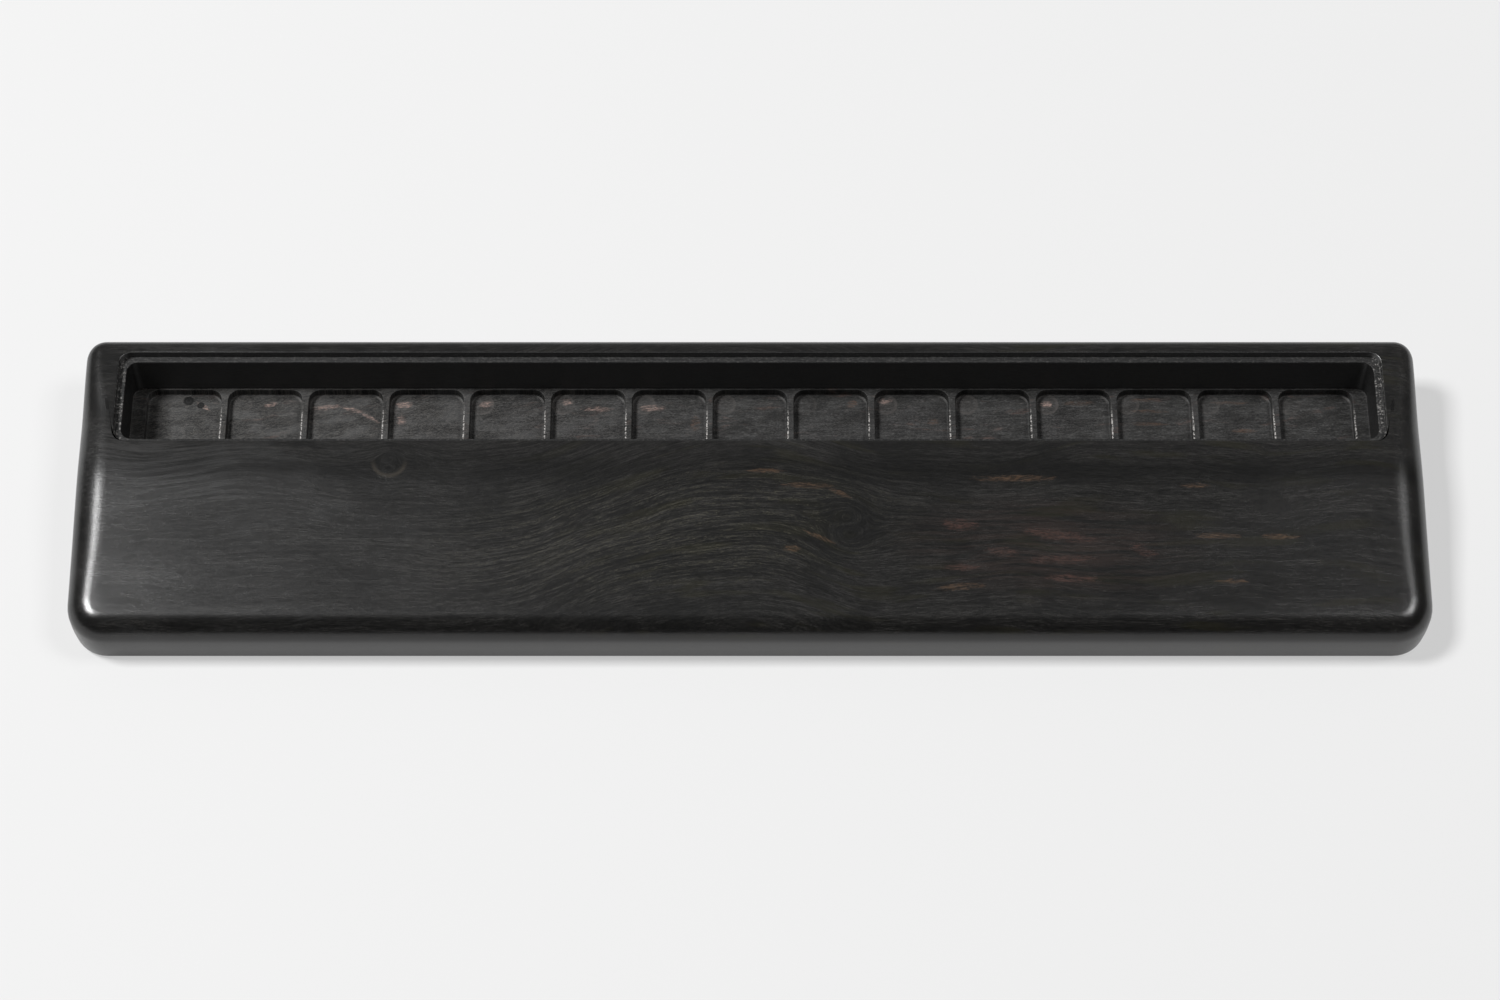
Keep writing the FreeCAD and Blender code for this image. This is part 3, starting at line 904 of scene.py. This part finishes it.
    def lay_painted_wall_shade_and_light(self, face):
        """Painted shade on the walls of the trough and rebate, painted light on their back
        sides.
        """
        wall = self.step(self.rise, 0.1, 0.7) * (1 - self.near(self.z, LEDGE / MM, 0.4, 0.1))
        # painted shade on the walls
        face.lay(wall * 0.6, grey(0.008))
        trough_back = (TRAY_BACK - LEDGE_WIDTH) / MM
        back = self.step(self.y, trough_back - 0.6, trough_back - 0.1)
        # painted light on the back sides, which face the front
        face.lay(wall * back * 0.8, self.blend(self.fibres, grey(0.038), grey(0.150)))

    def lay_cutter_rings(self, face):
        """A ring where the cutter went down at each pocket's back left corner."""
        corner = POCKET_CORNER / MM
        out = self.distance(self.pocket_x + CORNER_X, self.pocket_y - CORNER_Y)
        ring = self.step(out, corner + 0.2, corner - 0.1)
        ring = ring * (0.35 + self.step(out, 1.9, 2.6) * 0.65)
        ring = ring * self.step(self.noise(self.x * 0.045, 2.0, 0.0), 0.35, 0.6)
        face.lay(ring * self.on_floor * 0.42, CUTTER_RING)

    def burrs_and_highlight(self):
        """Fibres that stand up along the left edge of every divider: pale, with painted
        highlight.
        """
        edge = POCKET_LENGTH / MM / 2 + 0.1
        row_end = POCKETS * PITCH / MM / 2
        lit_burr = self.near(self.pocket_x, edge, 0.34, 0.14) * self.step(self.pocket_y, 6.5, 1.0)
        lit_burr = lit_burr * self.step(self.rise, -0.9, -0.3) * self.low
        lit_burr = lit_burr * self.step(self.math("ABSOLUTE", self.x), row_end, row_end - 0.6)
        # pale torn fibres, painted brighter with the highlight they catch from the left
        return lit_burr * self.step(self.speckle, 0.47, 0.53)

    def painted_corner_glints(self):
        """Painted highlight: a bright curved line just inside each pocket's back right corner.
        """
        x, y = self.pocket_x - CORNER_X, self.pocket_y - CORNER_Y
        corner_glint = self.near(self.distance(x, y), POCKET_CORNER / MM - 0.5, 0.35, 0.1)
        return corner_glint * self.step(x, 0.3, 1.2) * self.step(y, 0.3, 1.2) * self.on_floor * 0.15

    def lay_torn_fibres_and_glints(self, face):
        """Bright burrs, partly painted highlight, painted highlights in the pockets' corners,
        and sparkle on the ledge, most of it at the ends. Between its ends the ledge is
        darkened first."""
        ledge = self.step(self.z, LEDGE / MM - 0.35, LEDGE / MM - 0.05)
        trough_end = (TRAY_END - LEDGE_WIDTH) / MM
        ends = self.step(self.math("ABSOLUTE", self.x), trough_end - 0.55, trough_end + 0.45)
        face.lay(ledge * (0.5 - ends * 0.5), grey(0.009))
        sparkle = ledge * self.step(self.speckle, 0.52, 0.68) * (0.08 + ends * 0.5)
        # pale torn fibres with painted highlight, painted corner highlights, and ledge sparkle
        face.lay(self.burrs_and_highlight() + self.painted_corner_glints() + sparkle, grey(0.32, 0.04))

    def lay_pin_knots(self, face):
        """A dark round spot with a ragged edge, and a paler ring inside it."""
        for x, y, radius in PIN_KNOTS:
            out = self.distance(self.x - x, self.y - y) * (1 / radius)
            out = out + self.speckle * 0.6 - 0.3
            face.lay(self.step(out, 1.15, 0.9) * self.on_floor, grey(0.0012))
            face.lay(self.near(out, 0.45, 0.22, 0.05) * self.on_floor * 0.4, grey(0.014))

    def cut_face(self):
        """Fuzzy, chattered wood, with what lies on floors and edges, and painted wall shade
        and light.
        """
        fuzz = self.noise(self.x * 1.2 - self.y * 0.5, self.y * 6.0 + self.x * 0.8,
                          self.z * 3.0, 3.0, 0.7)
        rough = self.coarse * 0.4 + self.chatter * 0.25 + fuzz * 0.35
        face = Face(self, self.ramp(rough, (0.37, grey(0.0045)), (0.5, grey(0.0145)),
                                    (0.62, grey(0.054, 0.01))))
        self.lay_floor_figure(face)
        self.lay_painted_wall_shade_and_light(face)
        self.lay_cutter_rings(face)
        self.lay_torn_fibres_and_glints(face)
        self.lay_pin_knots(face)
        return face.colour


def make_finish_hardwood():
    """The block's material. Its skin's 'milled' values pick the sanded or the cut face."""
    f = Hardwood()
    attribute = f.node("ShaderNodeAttribute", attribute_name="milled")
    milled = Amount(f, attribute.outputs["Fac"])
    f.set("Base Color", f.blend(milled, f.sanded_face(), f.cut_face()))
    polish = 0.16 + f.fibres * 0.12 + f.bands * 0.04
    f.set("Roughness", polish + milled * (0.12 + f.chatter * 0.25))
    f.set("IOR", 1.52)
    f.set("Specular IOR Level", 0.5 - milled * 0.3)
    relief = f.fibres * (1 - milled) + (f.chatter + f.coarse) * milled * 2.2
    f.bump(relief, WOOD_RELIEF)
    return f.material


def make_finish_rubber():
    """Moulded black rubber: a fine grain, faint mould swirls, and dust on the high parts."""
    f = Finish("foot_rubber")
    grit = f.noise(f.x * 3.2, f.y * 3.2, f.z * 3.2, 3.0, 0.6)
    cloud = f.noise(f.x * 0.35, f.y * 0.35, f.z * 0.35, 2.0, 0.5, 1.2)
    f.set("Base Color", f.ramp(grit * 0.5 + cloud * 0.5, (0.35, grey(0.011)),
                               (0.55, grey(0.022, 0.02)), (0.72, grey(0.042, 0.03))))
    f.set("Roughness", 0.58 + grit * 0.22)
    f.bump(grit, RUBBER_RELIEF)
    return f.material


def make_finish_adhesive():
    """Milky double-sided adhesive film, with trapped air and a faint weave of fibres."""
    f = Finish("adhesive_film")
    fibre = f.noise(f.x * 0.9, f.y * 3.5, f.z, 2.0, 0.6)
    air = f.noise(f.x * 1.3, f.y * 1.3, f.z + 5, 1.0)
    f.set("Base Color", f.ramp(fibre * 0.5 + air * 0.5, (0.35, (0.42, 0.39, 0.31, 1)),
                               (0.65, (0.66, 0.63, 0.55, 1))))
    f.set("Roughness", 0.42 + air * 0.2)
    f.bump(air, FILM_RELIEF)
    return f.material


# ---------------------------------------------------------------- stage

def make_stage():
    """A pale light table under the object: it glows a little, so that no shadow on it is
    deep."""
    far = TABLE_REACH
    mesh = bpy.data.meshes.new("floor")
    corners = [(-far, -far, 0), (far, -far, 0), (far, far, 0), (-far, far, 0)]
    mesh.from_pydata(corners, [], [(0, 1, 2, 3)])
    floor = bpy.data.objects.new("floor", mesh)
    bpy.context.scene.collection.objects.link(floor)
    f = Finish("pale_table")
    f.set("Base Color", grey(TABLE_GREY))
    f.set("Roughness", 0.9)
    f.set("Specular IOR Level", 0.0)
    f.set("Emission Color", (1, 1, 1, 1))
    f.set("Emission Strength", TABLE_GLOW)
    mesh.materials.append(f.material)


def make_world():
    """A dim studio: grey bands across the ceiling, from the front (Y -1) to the back."""
    world = bpy.data.worlds.new("studio")
    bpy.context.scene.world = world
    world.use_nodes = True
    nodes, links = world.node_tree.nodes, world.node_tree.links
    background = nodes["Background"]
    place = nodes.new("ShaderNodeTexCoord")
    split = nodes.new("ShaderNodeSeparateXYZ")
    spread = nodes.new("ShaderNodeMapRange")
    spread.inputs["From Min"].default_value = -1
    ramp = nodes.new("ShaderNodeValToRGB")
    links.new(place.outputs["Generated"], split.inputs[0])
    links.new(split.outputs["Y"], spread.inputs["Value"])
    links.new(spread.outputs[0], ramp.inputs[0])
    links.new(ramp.outputs[0], background.inputs["Color"])
    elements = ramp.color_ramp.elements
    while len(elements) < len(CEILING_BANDS):
        elements.new(0.5)
    for element, (forward, light) in zip(elements, CEILING_BANDS):
        element.position, element.color = (forward + 1) / 2, (light, light, light, 1)


def make_softbox(name, place, size, power):
    """A square area light at a place, aimed at the origin."""
    light = bpy.data.lights.new(name, "AREA")
    light.shape = "RECTANGLE"
    light.size, light.size_y = size, size
    light.energy = power
    lamp = bpy.data.objects.new(name, light)
    bpy.context.scene.collection.objects.link(lamp)
    lamp.location = place
    lamp.rotation_euler = (-Vector(place)).to_track_quat("-Z", "Y").to_euler()


def make_camera():
    """A long lens, looking down at 60 degrees from in front."""
    camera = bpy.data.cameras.new("camera")
    camera.lens = LENS
    camera.sensor_width = SENSOR_WIDTH
    view = bpy.data.objects.new("camera", camera)
    bpy.context.scene.collection.objects.link(view)
    view.location = CAMERA_PLACE
    view.rotation_euler = (CAMERA_AIM - CAMERA_PLACE).to_track_quat("-Z", "Y").to_euler()
    bpy.context.scene.camera = view


make_camera()
make_stage()
make_world()
make_softbox("key_softbox", *KEY_SOFTBOX)
make_softbox("fill_softbox", *FILL_SOFTBOX)
bpy.context.scene.view_settings.view_transform = "Standard"


# ---------------------------------------------------------------- the pieces

wood = make_wood_block()
wood.data.materials.append(make_finish_hardwood())
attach(wood, "root")
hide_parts("wood_body")

rubber = make_finish_rubber()
for name in FEET:
    pad = make_foot_pad(name)
    pad.data.materials.append(rubber)
    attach(pad, "root")
    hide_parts(name)

# The adhesive discs keep their shape, and only get the film's looks.
film = make_finish_adhesive()
for name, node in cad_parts.items():
    if name.startswith("adhesive_"):
        for holder in node.material_slots:
            holder.material = film
        if not node.material_slots:
            node.data.materials.append(film)
